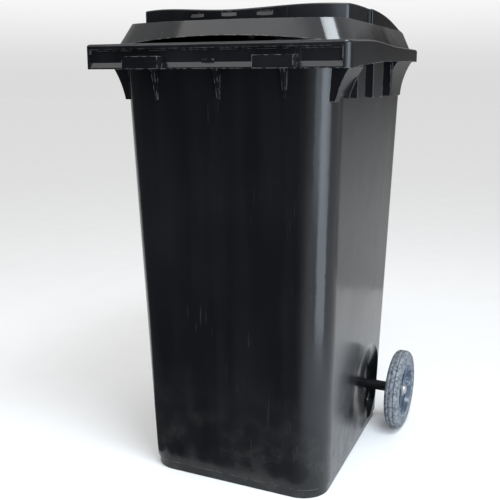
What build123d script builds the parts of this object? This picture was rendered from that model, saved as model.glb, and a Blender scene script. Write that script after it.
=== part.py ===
from build123d import *
from math import asin, cos, degrees
import os

# A two-wheeled 240 litre wheelie bin. Millimetres, +Z up, the front faces -Y.
# The origin is on the floor, under the middle of the bin's overall box.

# Container: a tapered box with rounded corners, measured on its outer face
rim_top = 985.0
front_half_low, front_half_high = 223.0, 248.0
rear_half_low, rear_half_high = 197.0, 231.0
front_y_low, front_y_high = -259.0, -304.0
rear_y_low, rear_y_high = 280.0, 293.0
front_corner, rear_corner = 66.0, 46.0
wall = 3.5
foot_height, foot_inset = 22.0, 4.0
floor_height = 26.0

# Rim: a downward open channel around the mouth, with a recessed band along its front
rim_half_width, rim_rear_half, rim_front, rim_rear = 293.0, 272.0, -348.0, 304.0
rim_front_corner, rim_rear_corner, rim_edge = 17.0, 70.0, 6.0
rim_bottom, rim_wall, ridge_width = 934.0, 6.0, 15.0
band_half_width, band_depth, band_low, band_high = 277.0, 4.0, 947.0, 974.0
lip_edge = 937.0
half_depth = 365.0
pad_centre, pad_width, pad_height = 145.5, 84.0, 25.0
rib_places = (-145.5, 0.0, 145.5)
rib_bottom, rib_reach, rib_top_width, rib_bottom_width = 872.0, 316.0, 9.0, 5.0

# Under the rim's sides: flared gussets, and upright ribs between them, as stretches along Y
# A flare is three points of an arc in front view: under the rim, middle and foot
front_gusset, front_flare = (-275.0, -190.0), ((269.0, 938.0), (251.0, 905.0), (240.0, 871.0))
rear_gusset, rear_flare = (72.0, 200.0), ((273.0, 957.0), (256.0, 924.0), (246.0, 876.0))
gusset_top = 962.0
side_ribs, side_rib_face, side_rib_low = ((-192.0, -141.0), (-82.0, -8.0), (56.0, 73.0)), 259.0, 876.0

# Lid and its hinge
lid_bottom, skirt_top, lid_wall = 986.0, 1030.0, 3.5
lid_half_width, lid_rear_half, lid_corner_y, lid_front, lid_rear = 269.0, 250.0, -277.0, -318.0, 312.0
skirt_slope, skirt_corner = 21.0, 58.0
dome_front, dome_corner_y, shoulder_y = -250.0, -190.0, -36.0
dome_recess, dome_valley, dome_edge = 8.0, 7.0, 3.0
finger_gap_half, finger_gap_height = 235.0, 13.0
notch_places, notch_width = (-77.0, 0.0, 77.0), 34.0
hinge_y, hinge_z, eye_radius = 348.0, 972.0, 17.0
pin_radius, running_gap = 6.0, 0.05
arm_inner, arm_outer = 175.0, 190.0
lug_gap, lug_thickness = 1.0, 15.0
bar_radius = 14.0

# Wheels and axle
wheel_radius, axle_y, axle_radius = 103.0, 217.0, 10.0
wheel_inner, wheel_outer = 255.0, 291.0
hub_radius, boss_radius = 72.0, 19.0
boss_outer, axle_end = 281.0, 286.5
scoop_depth_x = 184.0
spacer_radius = 13.0


def between(low, high, share):
    """Value a given share of the way from low to high."""
    return low + (high - low) * share


def container_section(z, inset):
    """Outline of the container at height z, drawn inset from its outer face."""
    share = z / rim_top
    front_half = between(front_half_low, front_half_high, share) - inset
    rear_half = between(rear_half_low, rear_half_high, share) - inset
    front_y = between(front_y_low, front_y_high, share) + inset
    rear_y = between(rear_y_low, rear_y_high, share) - inset
    with BuildSketch(Plane.XY.offset(z)) as section:
        with BuildLine():
            Polyline(
                (-front_half, front_y),
                (front_half, front_y),
                (rear_half, rear_y),
                (-rear_half, rear_y),
                close=True,
            )
        make_face()
        fillet(section.vertices().group_by(Axis.Y)[0], front_corner - inset)
        fillet(section.vertices().group_by(Axis.Y)[-1], rear_corner - inset)
    return section.sketch


def rim_section(z, inset):
    """Outline of the rim at height z, drawn inset from its outer face."""
    with BuildSketch(Plane.XY.offset(z)) as section:
        with BuildLine():
            Polyline(
                (-rim_half_width + inset, rim_front + inset),
                (rim_half_width - inset, rim_front + inset),
                (rim_rear_half - inset, rim_rear - inset),
                (-rim_rear_half + inset, rim_rear - inset),
                close=True,
            )
        make_face()
        fillet(section.vertices().group_by(Axis.Y)[0], rim_front_corner - inset)
        fillet(section.vertices().group_by(Axis.Y)[-1], rim_rear_corner - inset)
    return section.sketch


def gusset_section(forward, flare, inset):
    """Pair of flared gussets in front view: a hollow curve from the wall out to the rim."""
    with BuildSketch(Plane.XZ.offset(forward)) as section:
        for side in (-1, 1):
            top, middle, foot = [(side * (across - inset), up - inset) for across, up in flare]
            with BuildLine():
                ThreePointArc(top, middle, foot)
                Polyline(
                    foot,
                    (side * 215, foot[1]),
                    (side * 215, gusset_top - inset),
                    (top[0], gusset_top - inset),
                    top,
                )
            make_face()
    return section.sketch


def wheel_scoop(side, grow):
    """Dish in the side wall beside a wheel, grown outwards by a wall thickness."""
    mouth = Plane(origin=(side * 218, 118, 127), x_dir=(0, 1, 0), z_dir=(side, 0, 0))
    seat_x = side * (scoop_depth_x - grow)
    seat = Plane(origin=(seat_x, axle_y - 9, 108), x_dir=(0, 1, 0), z_dir=(side, 0, 0))
    with BuildPart() as scoop:
        with BuildSketch(mouth):
            Ellipse(144 + grow, 137 + grow)
        with BuildSketch(seat):
            Ellipse(26 + grow, 56 + grow)
        loft(ruled=True)
    return scoop.part


# The space inside the container, with a step over the axle
with BuildPart() as cavity:
    loft([container_section(floor_height, wall), container_section(rim_top + 1, wall)], ruled=True)
    with Locations((0, 250, 65)):
        Box(600, 140, 130, mode=Mode.SUBTRACT)
    for side in (-1, 1):
        add(wheel_scoop(side, wall), mode=Mode.SUBTRACT)

# Hollow under the container's floor, ahead of the axle
with BuildPart() as underside:
    extrude(container_section(0, 14), amount=foot_height)
    split(bisect_by=Plane.XZ.offset(-164), keep=Keep.TOP)

# Wedge that braces the front of the rim: narrow towards its lower end
with BuildPart() as rim_rib:
    with BuildSketch(Plane.XZ.offset(rib_reach)):
        with BuildLine():
            Polyline(
                (-rib_top_width / 2, rim_top - 2),
                (rib_top_width / 2, rim_top - 2),
                (rib_top_width / 2, rim_bottom),
                (rib_bottom_width / 2, rib_bottom),
                (-rib_bottom_width / 2, rib_bottom),
                (-rib_top_width / 2, rim_bottom),
                close=True,
            )
        make_face()
    extrude(amount=-rib_reach + 285)
    with BuildSketch(Plane.YZ):
        with BuildLine():
            Polyline((-rib_reach, rim_top), (-rib_reach, rim_bottom), (-301, rib_bottom), (-285, rib_bottom))
            Polyline((-285, rib_bottom), (-285, rim_top), (-rib_reach, rim_top))
        make_face()
    extrude(amount=rib_top_width, both=True, mode=Mode.INTERSECT)

# Handle bracket: a gusset from the rear wall to an eye on the hinge's axis
with BuildPart() as bracket:
    with BuildSketch(Plane.YZ):
        with BuildLine():
            Polyline(
                (280, 905),
                (294, 905),
                (hinge_y - 10, hinge_z - 13),
                (hinge_y, hinge_z + 11),
                (hinge_y - 45, 983),
                (280, 983),
                close=True,
            )
        make_face()
        with Locations((hinge_y, hinge_z)):
            Circle(eye_radius - 1)
    extrude(amount=lug_thickness)

inner_lug = arm_inner - lug_gap - lug_thickness
outer_lug = arm_outer + lug_gap

with BuildPart() as body:
    # Rim: a slab with a rounded top edge that rises a little along the sides, hollow from below
    extrude(rim_section(rim_bottom, 0), amount=rim_top + 20 - rim_bottom)
    with BuildSketch(Plane.YZ):
        with BuildLine():
            Line((-400, rim_top), (-350, rim_top))
            Spline(
                (-350, rim_top),
                (-200, rim_top + 5),
                (-110, rim_top + 4.5),
                (60, rim_top),
                tangents=[(1, 0), (1, 0)],
            )
            Polyline((60, rim_top), (400, rim_top), (400, 900), (-400, 900), (-400, rim_top))
        make_face()
    extrude(amount=400, both=True, mode=Mode.INTERSECT)
    fillet(body.edges().filter_by(lambda edge: edge.center().Z > rim_top - 1), rim_edge)
    extrude(rim_section(rim_top, ridge_width), amount=20, mode=Mode.SUBTRACT)
    rim_hollow = rim_section(rim_bottom - 1, rim_wall)
    extrude(rim_hollow, amount=rim_top - rim_bottom + 1 - wall, mode=Mode.SUBTRACT)
    # Recessed band along the front, over a sloping lip
    with BuildSketch(Plane.YZ):
        with BuildLine():
            Polyline(
                (rim_front - 2, band_high),
                (rim_front, band_high),
                (rim_front + band_depth, band_high - 3),
                (rim_front + band_depth, band_low),
                (rim_front, lip_edge),
                (rim_front - 2, lip_edge),
                close=True,
            )
        make_face()
    extrude(amount=band_half_width, both=True, mode=Mode.SUBTRACT)
    with Locations((0, rim_front + 4, band_low + 2)):
        Box(26, 4, 7)
    # The band's lower edge rises along the sides
    with BuildSketch(Plane.YZ):
        with BuildLine():
            Spline((-335, rim_bottom), (-261, 940), (-175, 945), (-81, 950), (60, 953), (180, 956))
            Polyline((180, 956), (320, 956), (320, 900), (-335, 900), (-335, rim_bottom))
        make_face()
    extrude(amount=300, both=True, mode=Mode.SUBTRACT)
    # Lifting pads on the front of the rim
    pad_y, pad_z = (rim_front - half_depth) / 2 + 3, rim_bottom + pad_height / 2
    for side in (-1, 1):
        with Locations((side * pad_centre, pad_y, pad_z)):
            Box(pad_width, rim_front + half_depth + 6, pad_height)
        with Locations((side * pad_centre, pad_y, pad_z - 5)):
            Box(pad_width - 8, rim_front + half_depth - 2, pad_height, mode=Mode.SUBTRACT)
    # Flared gussets and upright ribs under the rim's sides, hollow from below
    for (start, end), flare in ((front_gusset, front_flare), (rear_gusset, rear_flare)):
        length = end - start
        extrude(gusset_section(-start, flare, 0), amount=-length)
        extrude(gusset_section(-start - wall, flare, wall), amount=2 * wall - length, mode=Mode.SUBTRACT)
    for start, end in side_ribs:
        height = gusset_top - side_rib_low
        with Locations((0, (start + end) / 2, side_rib_low + height / 2)):
            Box(2 * side_rib_face, end - start, height)
            if end - start > 20:
                with Locations((0, 0, -wall)):
                    Box(2 * (side_rib_face - wall), end - start - 2 * wall, height, mode=Mode.SUBTRACT)
    # Container and its foot
    loft([container_section(foot_height, 0), container_section(rim_top, 0)], ruled=True)
    loft([container_section(0, foot_inset), container_section(foot_height, foot_inset)], ruled=True)
    for place in rib_places:
        with Locations((place, 0, 0)):
            add(rim_rib.part)
    # Handle: a bar between two brackets, and an outer lug beyond each lid arm
    for start in (inner_lug, outer_lug, -inner_lug - lug_thickness, -outer_lug - lug_thickness):
        with Locations((start, 0, 0)):
            add(bracket.part)
    with Locations(Plane(origin=(0, hinge_y, hinge_z), z_dir=(1, 0, 0))):
        Cylinder(bar_radius, 2 * inner_lug + 2)
    # Inside, underside, wheel scoops and bores
    add(cavity.part, mode=Mode.SUBTRACT)
    add(underside.part, mode=Mode.SUBTRACT)
    for side in (-1, 1):
        add(wheel_scoop(side, 0), mode=Mode.SUBTRACT)
        with Locations((side * 44.5, 228, 62), (side * 129, 228, 62)):
            Box(80, 88, 128, mode=Mode.SUBTRACT)
    with Locations(Plane(origin=(0, axle_y, wheel_radius), z_dir=(1, 0, 0))):
        Cylinder(axle_radius + running_gap, 2 * wheel_inner, mode=Mode.SUBTRACT)
    with Locations(
        Plane(origin=(arm_outer, hinge_y, hinge_z), z_dir=(1, 0, 0)),
        Plane(origin=(-arm_outer, hinge_y, hinge_z), z_dir=(1, 0, 0)),
    ):
        Cylinder(pin_radius, 80, mode=Mode.SUBTRACT)


def lid_top(inset):
    """Block whose upper face, with a shallow valley along it, is swept down to the hinge."""
    with BuildLine() as fall:
        Spline(
            (0, -350, 1052 - inset),
            (0, -230, 1061 - inset),
            (0, -90, 1064 - inset),
            (0, 0, 1062 - inset),
            (0, 111, 1053 - inset),
            (0, 209, 1037 - inset),
            (0, 282, 1019 - inset),
            (0, 330, 996 - inset),
        )
    with BuildPart() as block:
        with BuildSketch(Plane(origin=fall.line @ 0, x_dir=(1, 0, 0), z_dir=-(fall.line % 0))):
            with BuildLine():
                Spline((-300, -8), (-180, 0), (0, -dome_valley), (180, 0), (300, -8))
                Polyline((300, -8), (300, -75), (-300, -75), (-300, -8))
            make_face()
        sweep(path=fall.line)
    return block.part


def lid_volume(inset):
    """The lid as a solid block, drawn inset from its outer face."""
    half, rear_half, rear = lid_half_width - inset, lid_rear_half - inset, lid_rear - inset
    with BuildPart() as volume:
        # Sloping skirt
        for z, slope in ((lid_bottom - (1 if inset else 0), 0), (skirt_top - inset, skirt_slope)):
            with BuildSketch(Plane.XY.offset(z)) as outline:
                with BuildLine():
                    ThreePointArc(
                        (-half + slope, lid_corner_y + inset + slope),
                        (0, lid_front + inset + slope),
                        (half - slope, lid_corner_y + inset + slope),
                    )
                    Polyline(
                        (half - slope, lid_corner_y + inset + slope),
                        (rear_half - slope, rear - slope / 3),
                        (-rear_half + slope, rear - slope / 3),
                        (-half + slope, lid_corner_y + inset + slope),
                    )
                make_face()
                fillet(outline.vertices().group_by(Axis.Y)[-1], 66 - inset - slope / 2)
                fillet(outline.vertices().group_by(Axis.Y)[0], skirt_corner - inset)
        loft(ruled=True)
        # Raised top: set back at the front and beside the grip, flush at the shoulders
        with BuildSketch(Plane.XY.offset(lid_bottom + 10)) as dome:
            edge = half - skirt_slope
            rear_edge = rear_half - skirt_slope
            shoulder = between(edge, rear_edge, (shoulder_y - lid_corner_y) / (lid_rear - lid_corner_y))
            with BuildLine():
                ThreePointArc(
                    (-edge + dome_recess, dome_corner_y + inset),
                    (0, dome_front + inset),
                    (edge - dome_recess, dome_corner_y + inset),
                )
                Polyline(
                    (edge - dome_recess, dome_corner_y + inset),
                    (shoulder - dome_recess, shoulder_y + inset),
                    (shoulder, shoulder_y + inset),
                    (rear_edge, rear - skirt_slope / 3),
                    (-rear_edge, rear - skirt_slope / 3),
                    (-shoulder, shoulder_y + inset),
                    (-shoulder + dome_recess, shoulder_y + inset),
                    (-edge + dome_recess, dome_corner_y + inset),
                )
            make_face()
            fillet(dome.vertices().group_by(Axis.Y)[-1], 55 - inset)
            fillet(dome.vertices().group_by(Axis.Y)[0], 16 - inset)
        extrude(amount=80)
        # Crowned upper surface, falling towards the hinge
        add(lid_top(inset), mode=Mode.INTERSECT)
    return volume.part


lid_outer = lid_volume(0)
lid_inner = lid_volume(lid_wall)

# Notch with a sloping sill, cut into the front of the lid's raised top
with BuildPart() as notch:
    with BuildSketch(Plane.YZ.offset(-notch_width / 2)):
        with BuildLine():
            Polyline((-3, 1039.5), (0, 1039.5), (2.7, 1048.5), (-3, 1048.5), close=True)
        make_face()
    extrude(amount=notch_width)

# Hinge arm of the lid, in side view
with BuildPart() as arm:
    with BuildSketch(Plane.YZ):
        with BuildLine():
            Polyline(
                (296, 988),
                (lid_rear - 3, 988),
                (hinge_y - 6, hinge_z - 15),
                (hinge_y + 15, hinge_z + 4),
                (hinge_y - 20, 1001),
                (296, 1007),
                close=True,
            )
        make_face()
        with Locations((hinge_y, hinge_z)):
            Circle(eye_radius)
        with Locations((hinge_y, hinge_z)):
            Circle(pin_radius + running_gap, mode=Mode.SUBTRACT)
    extrude(amount=arm_outer - arm_inner)

with BuildPart() as lid:
    add(lid_outer)
    fillet(lid.edges().filter_by(lambda edge: edge.center().Z > 1045), dome_edge)
    add(lid_inner, mode=Mode.SUBTRACT)
    with Locations((arm_inner, 0, 0), (-arm_outer, 0, 0)):
        add(arm.part)
    # Finger gap: the skirt's lower edge arches up along the front
    with BuildSketch(Plane.XZ.offset(200)):
        with BuildLine():
            ThreePointArc(
                (-finger_gap_half, lid_bottom - 1),
                (0, lid_bottom + finger_gap_height),
                (finger_gap_half, lid_bottom - 1),
            )
            Line((finger_gap_half, lid_bottom - 1), (-finger_gap_half, lid_bottom - 1))
        make_face()
    extrude(amount=150, mode=Mode.SUBTRACT)
    # Three notches, square to the curved front of the raised top
    dome_half = lid_half_width - skirt_slope - dome_recess
    dome_depth = dome_corner_y - dome_front
    dome_radius = (dome_half**2 + dome_depth**2) / (2 * dome_depth)
    for place in notch_places:
        turn = asin(place / dome_radius)
        face_y = dome_front + dome_radius * (1 - cos(turn))
        with Locations(Location((place, face_y, 0), (0, 0, degrees(turn)))):
            add(notch.part, mode=Mode.SUBTRACT)


def turned(profile, start_x):
    """Solid turned about the axle's line from (distance along X, radius) points."""
    with BuildPart() as solid:
        with BuildSketch(Plane(origin=(start_x, axle_y, wheel_radius), x_dir=(1, 0, 0), z_dir=(0, -1, 0))):
            with BuildLine():
                Polyline(*profile, close=True)
            make_face()
        revolve(axis=Axis((0, axle_y, wheel_radius), (1, 0, 0)))
    return solid.part


def tyre_solid(side):
    """Solid rubber tyre with rounded shoulders."""
    centre = (side * (wheel_inner + wheel_outer) / 2, axle_y, wheel_radius)
    with BuildPart() as solid:
        with BuildSketch(Plane(origin=centre, x_dir=(1, 0, 0), z_dir=(0, -1, 0))) as cut:
            with Locations((0, (wheel_radius + hub_radius) / 2)):
                Rectangle(wheel_outer - wheel_inner, wheel_radius - hub_radius)
            fillet(cut.vertices().group_by(Axis.Y)[-1], 13)
            fillet(cut.vertices().group_by(Axis.Y)[0], 2)
        revolve(axis=Axis((0, axle_y, wheel_radius), (1, 0, 0)))
    return solid.part


def hub_solid(side):
    """Moulded wheel centre: outer ring, dished web, boss and stiffening ribs."""
    middle = (wheel_inner + wheel_outer) / 2
    ring = (wheel_outer - wheel_inner) / 2 - 1.5
    bore = axle_radius + running_gap
    profile = [
        (-ring, hub_radius),
        (ring, hub_radius),
        (ring, hub_radius - 4.5),
        (5, hub_radius - 8),
        (-3, 44),
        (-3, boss_radius + 5),
        (1, boss_radius),
        (boss_outer - middle, boss_radius - 1),
        (boss_outer - middle, bore),
        (wheel_inner - middle, bore),
        (wheel_inner - middle, boss_radius),
        (-8, boss_radius + 1),
        (-8, 45),
        (0, hub_radius - 8),
        (-ring, hub_radius - 4.5),
    ]
    with BuildPart() as solid:
        add(turned([(side * along, radius) for along, radius in profile], side * middle))
        with Locations(Plane(origin=(side * (middle - 1), axle_y, wheel_radius), z_dir=(1, 0, 0))):
            with PolarLocations((hub_radius + boss_radius) / 2 - 3, 6):
                Box(hub_radius - boss_radius - 4, 4, 11)
    return solid.part


# Axle: a plain round bar through the container's webs and both wheels
with BuildPart() as axle:
    with Locations(Plane(origin=(0, axle_y, wheel_radius), z_dir=(1, 0, 0))):
        Cylinder(axle_radius, 2 * axle_end)
    chamfer(axle.edges().filter_by(GeomType.CIRCLE), 1.5)

# Hinge pin: a headed plastic bolt, pushed in from the outer side
with BuildPart() as right_hinge_pin:
    pin_middle = (inner_lug + outer_lug + lug_thickness) / 2
    with Locations(Plane(origin=(pin_middle, hinge_y, hinge_z), z_dir=(1, 0, 0))):
        Cylinder(pin_radius, outer_lug + lug_thickness - inner_lug)
    with Locations(Plane(origin=(outer_lug + lug_thickness + 2, hinge_y, hinge_z), z_dir=(1, 0, 0))):
        Cylinder(11, 4)
    fillet(right_hinge_pin.edges().filter_by(GeomType.CIRCLE).sort_by(Axis.X)[-1], 1.5)

with BuildPart() as left_hinge_pin:
    mirror(right_hinge_pin.part, about=Plane.YZ)

pieces = {"body": body.part, "lid": lid.part, "axle": axle.part}
pieces["right_hinge_pin"] = right_hinge_pin.part
pieces["left_hinge_pin"] = left_hinge_pin.part

# Everything on an axle end: spacer, hub, tyre, washer and push-on cap
for name, side in (("right", 1), ("left", -1)):
    spacer_length = wheel_inner - scoop_depth_x - 0.3
    bore = axle_radius + running_gap
    pieces[name + "_spacer"] = turned(
        [(0, bore), (0, spacer_radius), (side * spacer_length, spacer_radius), (side * spacer_length, bore)],
        side * scoop_depth_x,
    )
    pieces[name + "_tyre"] = tyre_solid(side)
    pieces[name + "_hub"] = hub_solid(side)
    pieces[name + "_washer"] = turned(
        [(0, bore), (0, 17), (side * 1.6, 17), (side * 1.6, bore)], side * (boss_outer + 0.3)
    )
    cap_start = boss_outer + 0.3 + 1.6
    end_gap = axle_end - cap_start
    pieces[name + "_axle_cap"] = turned(
        [
            (0, axle_radius),
            (0, 15),
            (side * 1.5, 15),
            (side * 2.5, 12.6),
            (side * 5.6, 11.6),
            (side * 7.6, 7),
            (side * 8.1, 0),
            (side * end_gap, 0),
            (side * end_gap, axle_radius),
        ],
        side * cap_start,
    )

os.makedirs("parts", exist_ok=True)
for name, solid in pieces.items():
    solid.label = name
    export_step(solid, "parts/" + name + ".step")
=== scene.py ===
import bpy
import math
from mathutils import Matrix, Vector


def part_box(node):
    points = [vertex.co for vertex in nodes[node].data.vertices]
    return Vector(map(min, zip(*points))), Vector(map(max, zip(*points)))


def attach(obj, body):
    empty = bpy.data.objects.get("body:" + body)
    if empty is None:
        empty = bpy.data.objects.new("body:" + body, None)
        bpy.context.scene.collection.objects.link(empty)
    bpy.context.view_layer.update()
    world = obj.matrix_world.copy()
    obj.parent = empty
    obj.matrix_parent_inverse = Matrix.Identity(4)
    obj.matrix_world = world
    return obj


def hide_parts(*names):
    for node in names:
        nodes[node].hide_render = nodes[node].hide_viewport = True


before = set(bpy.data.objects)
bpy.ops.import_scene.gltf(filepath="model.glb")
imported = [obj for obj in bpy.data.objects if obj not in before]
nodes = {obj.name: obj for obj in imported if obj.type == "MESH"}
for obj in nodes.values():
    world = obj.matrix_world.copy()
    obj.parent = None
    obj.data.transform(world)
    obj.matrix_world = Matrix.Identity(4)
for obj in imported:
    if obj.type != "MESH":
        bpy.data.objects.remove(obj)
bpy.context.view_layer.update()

# Camera: eye-high, at the front right of the bin
camera_place = Vector((0.734, -1.7293, 0.9143))
camera_azimuth, camera_pitch, camera_lens = 24.9, 12.4, 55.99

# Stage: a dark card with a foot round the front left, a grey card behind the right side, in metres
floor_reach = 30.0
flag_line, flag_top = [(0.42, -0.66), (-0.75, -0.66), (-1.35, 0.0)], 1.16
flag_foot, flag_foot_z = [(0.26, -0.31), (-0.24, -0.31), (-0.27, 0.0)], 0.002
flag_solid_x, flag_clear_x = 0.05, 0.42
backdrop_line, backdrop_top = [(0.35, 1.5), (1.6, 1.3)], 1.4

# Lights: name, place, aim, size, radiance and colour
white, cool, pale_blue, sky_blue = (1, 1, 1), (0.86, 0.94, 1.0), (0.76, 0.87, 1.0), (0.74, 0.87, 1.0)
lights = (
    ("overhead", (-0.95, -1.75, 2.9), (0, 0, 0.9), (1.9, 1.6), 2.2, white),
    ("side", (2.25, -1.75, 0.95), (0.2, -0.25, 0.6), (2.1, 1.9), 2.6, sky_blue),
    ("strip", (0.99, -0.53, 0.58), (0.21, -0.26, 0.58), (0.55, 1.14), 4.5, pale_blue),
    ("window", (0.82, -0.72, 2.40), (0.23, -0.27, 1.0), (1.0, 0.5), 22.0, cool),
)
# The world's brightness at the horizon and overhead, as light and as the camera sees it
horizon_light, zenith_light = 0.22, 1.05
horizon_seen, backdrop_seen = 0.71, 0.97

# Colours, linear
black_plastic, grey_plastic = (0.0045, 0.0047, 0.0055, 1), (0.0085, 0.0088, 0.0100, 1)
worn_plastic, dust = (0.150, 0.150, 0.155, 1), (0.095, 0.088, 0.078, 1)
dark_rubber, dusty_rubber = (0.070, 0.077, 0.088, 1), (0.215, 0.235, 0.258, 1)
hub_blue, hub_grey = (0.032, 0.050, 0.075, 1), (0.300, 0.350, 0.430, 1)
flag_grey, card_low, card_high = (0.06, 0.06, 0.07, 1), (0.52, 0.50, 0.48, 1), (0.05, 0.045, 0.04, 1)
floor_dim, floor_pale = (0.80, 0.80, 0.80, 1), (0.84, 0.84, 0.84, 1)
black_paint, bare_steel, zinc, rust = (
    (0.006, 0.006, 0.007, 1),
    (0.35, 0.34, 0.33, 1),
    (0.52, 0.53, 0.55, 1),
    (0.16, 0.07, 0.03, 1),
)


# ---------------------------------------------------------------- materials
def node(tree, kind, settings=None, **sockets):
    """Add a node; a socket named A_B stands for "A B" and takes a link or a value."""
    made = tree.nodes.new(kind)
    for name, value in (settings or {}).items():
        setattr(made, name, value)
    for name, value in sockets.items():
        socket = made.inputs[name.replace("_", " ")]
        if isinstance(value, bpy.types.NodeSocket):
            tree.links.new(value, socket)
        else:
            socket.default_value = value
    return made


def noise(tree, coords, scale, detail=3.0, stretch=(1, 1, 1)):
    """Noise from 0 to 1, with its grain stretched along an axis by a stretch under 1."""
    place = node(tree, "ShaderNodeMapping", Vector=coords, Scale=stretch).outputs[0]
    return node(tree, "ShaderNodeTexNoise", Vector=place, Scale=scale, Detail=detail).outputs[0]


def spread(tree, value, low, high, to_low=0.0, to_high=1.0):
    """Value from low to high, remapped smoothly and clamped."""
    settings = {"interpolation_type": "SMOOTHSTEP"}
    sockets = {"From_Min": low, "From_Max": high, "To_Min": to_low, "To_Max": to_high}
    return node(tree, "ShaderNodeMapRange", settings, Value=value, **sockets).outputs[0]


def calculate(tree, operation, first, second):
    """Math node of two values."""
    made = node(tree, "ShaderNodeMath", {"operation": operation})
    for socket, value in zip(made.inputs, (first, second)):
        if isinstance(value, bpy.types.NodeSocket):
            tree.links.new(value, socket)
        else:
            socket.default_value = value
    return made.outputs[0]


def weigh(tree, share, first, second):
    """Sum of two values, with the share of the first."""
    parts = [calculate(tree, "MULTIPLY", first, share), calculate(tree, "MULTIPLY", second, 1 - share)]
    return calculate(tree, "ADD", *parts)


def blend_colour(tree, share, first, second):
    """Colour between first and second."""
    made = node(tree, "ShaderNodeMix", {"data_type": "RGBA"})
    for index, value in ((0, share), (6, first), (7, second)):
        if isinstance(value, bpy.types.NodeSocket):
            tree.links.new(value, made.inputs[index])
        else:
            made.inputs[index].default_value = value
    return made.outputs[2]


def edge_mask(tree, radius):
    """1 on edges sharper than the radius, 0 on open faces."""
    soft = node(tree, "ShaderNodeBevel", {"samples": 6}, Radius=radius).outputs[0]
    plain = node(tree, "ShaderNodeNewGeometry").outputs["Normal"]
    same = node(tree, "ShaderNodeVectorMath", {"operation": "DOT_PRODUCT"})
    tree.links.new(soft, same.inputs[0])
    tree.links.new(plain, same.inputs[1])
    return spread(tree, same.outputs["Value"], 0.80, 0.985, 1.0, 0.0)


def bumps(tree, shader, layers):
    """Chain bump nodes, one for each (height, depth in metres, strength)."""
    normal = None
    for height, depth, strength in layers:
        made = node(tree, "ShaderNodeBump", Height=height, Distance=depth, Strength=strength)
        if normal:
            tree.links.new(normal, made.inputs["Normal"])
        normal = made.outputs[0]
    tree.links.new(normal, shader.inputs["Normal"])


def start_material(name, specular, metallic=0.0):
    """New material with its tree, shader and the piece's own coordinates."""
    material = bpy.data.materials.new(name)
    material.use_nodes = True
    tree = material.node_tree
    shader = tree.nodes["Principled BSDF"]
    shader.inputs["Specular IOR Level"].default_value = specular
    shader.inputs["Metallic"].default_value = metallic
    coords = node(tree, "ShaderNodeTexCoord").outputs["Object"]
    return material, tree, shader, coords


def plastic(name, specular, roughness, wear, dust_height, seed):
    """Glossy blow-moulded look: flow streaks, orange peel, ripples, scuffs, worn edges, dust."""
    material, tree, shader, coords = start_material(name, specular)
    coords = node(tree, "ShaderNodeMapping", Vector=coords, Location=(seed, 0, 0)).outputs[0]
    height = node(tree, "ShaderNodeSeparateXYZ", Vector=coords).outputs["Z"]
    clouds = noise(tree, coords, 3.2, 4)
    streaks = noise(tree, coords, 26, 3, (1, 1, 0.05))
    tone = weigh(tree, 0.6, clouds, streaks)
    colour = blend_colour(tree, spread(tree, tone, 0.35, 0.65), black_plastic, grey_plastic)
    # Fine scuffs in a few patches
    patches = spread(tree, noise(tree, coords, 5, 2), 0.48, 0.68)
    scratches = spread(tree, noise(tree, coords, 150, 4, (1, 1, 0.06)), 0.60, 0.74)
    scuffs = calculate(tree, "MULTIPLY", patches, scratches)
    colour = blend_colour(tree, calculate(tree, "MULTIPLY", scuffs, 0.08), colour, worn_plastic)
    # Worn edges
    chips = spread(tree, noise(tree, coords, 75, 5), 0.44, 0.58)
    edges = calculate(tree, "MULTIPLY", edge_mask(tree, 0.0032), chips)
    edges = calculate(tree, "MULTIPLY", edges, wear)
    colour = blend_colour(tree, edges, colour, worn_plastic)
    # Dust thrown up near the ground
    low = spread(tree, height, 0.0, dust_height, 1.0, 0.0)
    film = calculate(tree, "MULTIPLY", low, spread(tree, noise(tree, coords, 22, 6), 0.40, 0.75))
    film = calculate(tree, "MULTIPLY", film, 0.16)
    colour = blend_colour(tree, film, colour, dust)
    tree.links.new(colour, shader.inputs["Base Color"])
    dull = calculate(tree, "ADD", calculate(tree, "MULTIPLY", scuffs, 0.2), film)
    dull = calculate(tree, "ADD", dull, calculate(tree, "MULTIPLY", edges, 0.3))
    dull = calculate(tree, "ADD", dull, spread(tree, clouds, 0.3, 0.7, roughness - 0.04, roughness + 0.05))
    tree.links.new(dull, shader.inputs["Roughness"])
    ripple = noise(tree, coords, 7, 2)
    peel = noise(tree, coords, 380, 3)
    bumps(tree, shader, [(ripple, 0.004, 0.30), (peel, 0.0003, 0.10), (scratches, 0.0001, 0.15)])
    return material


def rubber(name):
    """Dusty, mottled tyre rubber, paler on its edges."""
    material, tree, shader, coords = start_material(name, 0.3)
    mottle = noise(tree, coords, 130, 6)
    speckle = noise(tree, coords, 330, 4)
    both = weigh(tree, 0.65, mottle, speckle)
    colour = blend_colour(tree, spread(tree, both, 0.40, 0.58), dark_rubber, dusty_rubber)
    edges = calculate(tree, "MULTIPLY", edge_mask(tree, 0.002), 0.35)
    colour = blend_colour(tree, edges, colour, dusty_rubber)
    tree.links.new(colour, shader.inputs["Base Color"])
    tree.links.new(spread(tree, both, 0.3, 0.7, 0.62, 0.88), shader.inputs["Roughness"])
    bumps(tree, shader, [(mottle, 0.0012, 0.35), (speckle, 0.0004, 0.5)])
    return material


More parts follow.
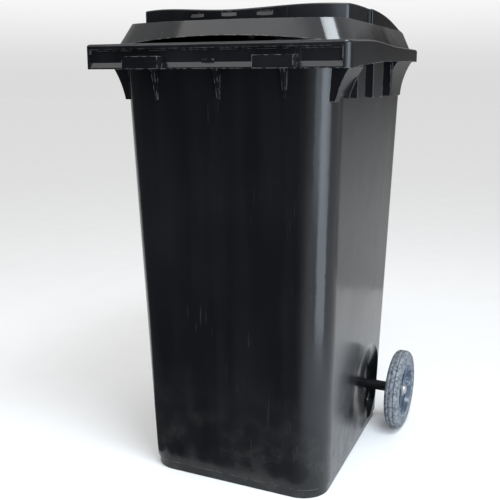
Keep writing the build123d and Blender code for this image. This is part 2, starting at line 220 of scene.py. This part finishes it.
def wheel_plastic(name):
    """Blue-black wheel centre, scuffed paler in patches."""
    material, tree, shader, coords = start_material(name, 0.55)
    clouds = noise(tree, coords, 22, 5)
    grains = noise(tree, coords, 240, 4)
    scuffs = calculate(tree, "MULTIPLY", spread(tree, clouds, 0.45, 0.62), spread(tree, grains, 0.40, 0.60))
    edges = calculate(tree, "MULTIPLY", edge_mask(tree, 0.0022), 0.6)
    share = calculate(tree, "MAXIMUM", calculate(tree, "MULTIPLY", scuffs, 0.7), edges)
    tree.links.new(blend_colour(tree, share, hub_blue, hub_grey), shader.inputs["Base Color"])
    tree.links.new(spread(tree, clouds, 0.3, 0.7, 0.24, 0.42), shader.inputs["Roughness"])
    bumps(tree, shader, [(clouds, 0.0012, 0.25), (grains, 0.0002, 0.2)])
    return material


def satin_black(name, roughness):
    """Black plastic with a fine grain."""
    material, tree, shader, coords = start_material(name, 0.20)
    grain = noise(tree, coords, 300, 4)
    clouds = noise(tree, coords, 30, 4)
    tree.links.new(blend_colour(tree, clouds, black_plastic, grey_plastic), shader.inputs["Base Color"])
    dull = spread(tree, clouds, 0.3, 0.7, roughness - 0.08, roughness + 0.1)
    tree.links.new(dull, shader.inputs["Roughness"])
    bumps(tree, shader, [(grain, 0.0003, 0.35)])
    return material


def painted_steel(name):
    """Black paint with a few chips down to rusty metal."""
    material, tree, shader, coords = start_material(name, 0.3)
    chips = spread(tree, noise(tree, coords, 90, 6), 0.62, 0.68)
    stain = noise(tree, coords, 160, 3)
    metal = blend_colour(tree, spread(tree, stain, 0.4, 0.6), bare_steel, rust)
    tree.links.new(blend_colour(tree, chips, black_paint, metal), shader.inputs["Base Color"])
    tree.links.new(spread(tree, stain, 0.3, 0.7, 0.30, 0.46), shader.inputs["Roughness"])
    bumps(tree, shader, [(chips, 0.0002, -0.4), (stain, 0.0002, 0.2)])
    return material


def zinc_plate(name):
    """Zinc-plated steel, spangled and slightly dulled."""
    material, tree, shader, coords = start_material(name, 0.5, metallic=1.0)
    cells = node(tree, "ShaderNodeTexVoronoi", Vector=coords, Scale=420.0).outputs["Color"]
    clouds = noise(tree, coords, 60, 4)
    grey = blend_colour(tree, clouds, zinc, bare_steel)
    tree.links.new(blend_colour(tree, 0.12, grey, cells), shader.inputs["Base Color"])
    tree.links.new(spread(tree, clouds, 0.3, 0.7, 0.24, 0.48), shader.inputs["Roughness"])
    bumps(tree, shader, [(clouds, 0.0003, 0.25)])
    return material


def add_piece(name, points, faces):
    """New mesh object in the scene."""
    mesh = bpy.data.meshes.new(name)
    mesh.from_pydata(points, [], faces)
    piece = bpy.data.objects.new(name, mesh)
    bpy.context.scene.collection.objects.link(piece)
    return piece


def dress(piece, material):
    """Give a piece one material."""
    piece.data.materials.clear()
    piece.data.materials.append(material)


body_material = plastic(
    "body_polyethylene", specular=0.34, roughness=0.17, wear=0.9, dust_height=0.30, seed=0.0
)
lid_material = plastic(
    "lid_polyethylene", specular=0.36, roughness=0.13, wear=0.6, dust_height=0.01, seed=4.0
)
tyre_material = rubber("tyre_rubber")
hub_material = wheel_plastic("hub_plastic")
pin_material = satin_black("pin_plastic", 0.38)
spacer_material = satin_black("spacer_plastic", 0.48)
axle_material = painted_steel("axle_paint")
zinc_material = zinc_plate("zinc")

dress(nodes["body"], body_material)
dress(nodes["lid"], lid_material)
dress(nodes["axle"], axle_material)
for side in ("left", "right"):
    dress(nodes[side + "_hub"], hub_material)
    dress(nodes[side + "_spacer"], spacer_material)
    dress(nodes[side + "_hinge_pin"], pin_material)
    dress(nodes[side + "_washer"], zinc_material)
    dress(nodes[side + "_axle_cap"], zinc_material)


# ---------------------------------------------------------------- tyres
def arc(centre, radius, start, end, steps):
    """Points of an arc, with its angles in degrees."""
    turns = [math.radians(start + (end - start) * step / steps) for step in range(steps + 1)]
    return [(centre[0] + radius * math.cos(turn), centre[1] + radius * math.sin(turn)) for turn in turns]


def tyre_outline(half, inner, outer):
    """Half cross-section of a tyre, from the hub to the middle of the tread, as (across, radius)."""
    shoulder = 0.0115
    groove, depth = 0.0065, 0.0011
    outline = [(half - 0.0015, inner), (half - 0.0003, inner + 0.0012), (half, inner + 0.003)]
    # Raised ring on the side wall
    outline += arc((half - 0.0009, inner + 0.0075), 0.0009, -60, 60, 4)
    outline += [(half - 0.0009, inner + 0.0105)]
    outline += arc((half - shoulder - 0.0004, outer - shoulder), shoulder, 0, 84, 10)
    # Tread with a groove each side of a low middle seam
    outline += [(groove + 0.0013, outer - 0.0002), (groove + 0.0008, outer - depth)]
    outline += [(groove - 0.0008, outer - depth), (groove - 0.0013, outer)]
    outline += [(0.0009, outer - 0.0003), (0.0004, outer)]
    return outline


def make_tyre(side, segments=160):
    """Turned rubber tyre over its hub, in the space of the plain CAD one."""
    low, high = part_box(side + "_tyre")
    hub_low, hub_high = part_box(side + "_hub")
    centre = [(low[axis] + high[axis]) / 2 for axis in range(3)]
    half, outer, inner = (high[0] - low[0]) / 2, (high[2] - low[2]) / 2, (hub_high[2] - hub_low[2]) / 2
    half_outline = tyre_outline(half, inner, outer)
    outline = half_outline + [(-across, radius) for across, radius in reversed(half_outline)]
    points, faces = [], []
    for step in range(segments):
        turn = 2 * math.pi * step / segments
        # The tread is worn a little, unevenly round the wheel
        tread_wear = 0.0022 * (0.5 + 0.5 * math.sin(3 * turn + 1) * math.cos(7 * turn))
        for across, radius in outline:
            reach = radius * (1 - tread_wear * (radius > outer - 0.002))
            aside, up = reach * math.cos(turn), reach * math.sin(turn)
            points.append((centre[0] + across, centre[1] + aside, centre[2] + up))
    count = len(outline)
    for step in range(segments):
        here, ahead = step * count, (step + 1) % segments * count
        for place in range(count):
            beside = (place + 1) % count
            faces.append((here + place, here + beside, ahead + beside, ahead + place))
    tyre = add_piece(side + "_rubber_tyre", points, faces)
    tyre.data.shade_smooth()
    dress(tyre, tyre_material)
    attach(tyre, side + "_wheel")
    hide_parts(side + "_tyre")


for side in ("left", "right"):
    make_tyre(side)


# ---------------------------------------------------------------- stage, light and camera
def make_floor():
    """Plain pale floor."""
    far = floor_reach
    corners = [(-far, -far, 0), (far, -far, 0), (far, far, 0), (-far, far, 0)]
    floor = add_piece("floor", corners, [(0, 1, 2, 3)])
    material, tree, shader, coords = start_material("floor", 0.1)
    grain = noise(tree, coords, 8, 3)
    tree.links.new(blend_colour(tree, grain, floor_dim, floor_pale), shader.inputs["Base Color"])
    shader.inputs["Roughness"].default_value = 0.9
    dress(floor, material)


def stage_card(card, material):
    """Give a card its material and let only reflections show it."""
    dress(card, material)
    card.visible_camera = False
    card.visible_diffuse = False
    card.visible_shadow = False


def make_flag():
    """Dark card round the front left, fading out to the right: it keeps the front deep black."""
    points = [(x, y, flag_foot_z) for x, y in flag_line]
    points += [(x, y, flag_top) for x, y in flag_line]
    points += [(x, y, flag_foot_z) for x, y in flag_foot]
    flag = add_piece("flag", points, [(0, 1, 4, 3), (1, 2, 5, 4), (0, 1, 7, 6), (1, 2, 8, 7)])
    material, tree, shader, coords = start_material("flag", 0.0)
    shader.inputs["Base Color"].default_value = flag_grey
    across = node(tree, "ShaderNodeSeparateXYZ", Vector=coords).outputs["X"]
    solid = spread(tree, across, flag_solid_x, flag_clear_x, 1.0, 0.0)
    tree.links.new(solid, shader.inputs["Alpha"])
    stage_card(flag, material)


def make_backdrop():
    """Warm grey card behind the right side, darker towards its top: it dims what that side reflects."""
    (left_x, left_y), (right_x, right_y) = backdrop_line
    points = [(left_x, left_y, 0.0), (right_x, right_y, 0.0)]
    points += [(right_x, right_y, backdrop_top), (left_x, left_y, backdrop_top)]
    card = add_piece("backdrop", points, [(0, 1, 2, 3)])
    material, tree, shader, coords = start_material("backdrop", 0.0)
    height = node(tree, "ShaderNodeSeparateXYZ", Vector=coords).outputs["Z"]
    shade = spread(tree, height, 0.1, 1.2)
    tree.links.new(blend_colour(tree, shade, card_low, card_high), shader.inputs["Base Color"])
    stage_card(card, material)


def make_light(name, place, aim, size, radiance, colour):
    """Soft rectangular light of a given brightness, which the camera doesn't see."""
    data = bpy.data.lights.new(name, "AREA")
    data.shape = "RECTANGLE"
    data.size, data.size_y = size
    data.energy = radiance * math.pi * size[0] * size[1]
    data.color = colour
    light = bpy.data.objects.new(name, data)
    light.location = place
    light.rotation_euler = (Vector(aim) - Vector(place)).to_track_quat("-Z", "Y").to_euler()
    bpy.context.scene.collection.objects.link(light)
    light.visible_camera = False


def make_camera():
    """Camera aimed by compass angle and downward pitch."""
    azimuth, pitch = math.radians(camera_azimuth), math.radians(camera_pitch)
    level = math.cos(pitch)
    aim = Vector((-math.sin(azimuth) * level, math.cos(azimuth) * level, -math.sin(pitch)))
    data = bpy.data.cameras.new("camera")
    data.lens = camera_lens
    data.sensor_width = 36
    camera = bpy.data.objects.new("camera", data)
    camera.location = camera_place
    camera.rotation_euler = aim.to_track_quat("-Z", "Y").to_euler()
    bpy.context.scene.collection.objects.link(camera)
    bpy.context.scene.camera = camera


def make_world():
    """White backdrop; what lights the bin is dim at the horizon and bright overhead, like a studio."""
    world = bpy.data.worlds.new("world")
    bpy.context.scene.world = world
    world.use_nodes = True
    tree = world.node_tree
    background = tree.nodes["Background"]
    heading = node(tree, "ShaderNodeTexCoord").outputs["Generated"]
    rise = node(tree, "ShaderNodeSeparateXYZ", Vector=heading).outputs["Z"]
    sky = spread(tree, rise, 0.10, 0.75, horizon_light, zenith_light)
    direct = node(tree, "ShaderNodeLightPath").outputs["Is Camera Ray"]
    # Seen straight on, the horizon has the brightness of the distant floor, so no line shows there
    view = spread(tree, rise, 0.0, 0.12, horizon_seen, backdrop_seen)
    seen = calculate(tree, "MULTIPLY", direct, view)
    light = calculate(tree, "MAXIMUM", sky, seen)
    background.inputs["Color"].default_value = (1, 1, 1, 1)
    tree.links.new(light, background.inputs["Strength"])
    bpy.context.scene.view_settings.view_transform = "Standard"


make_floor()
make_flag()
make_backdrop()
make_world()
for light in lights:
    make_light(*light)
make_camera()
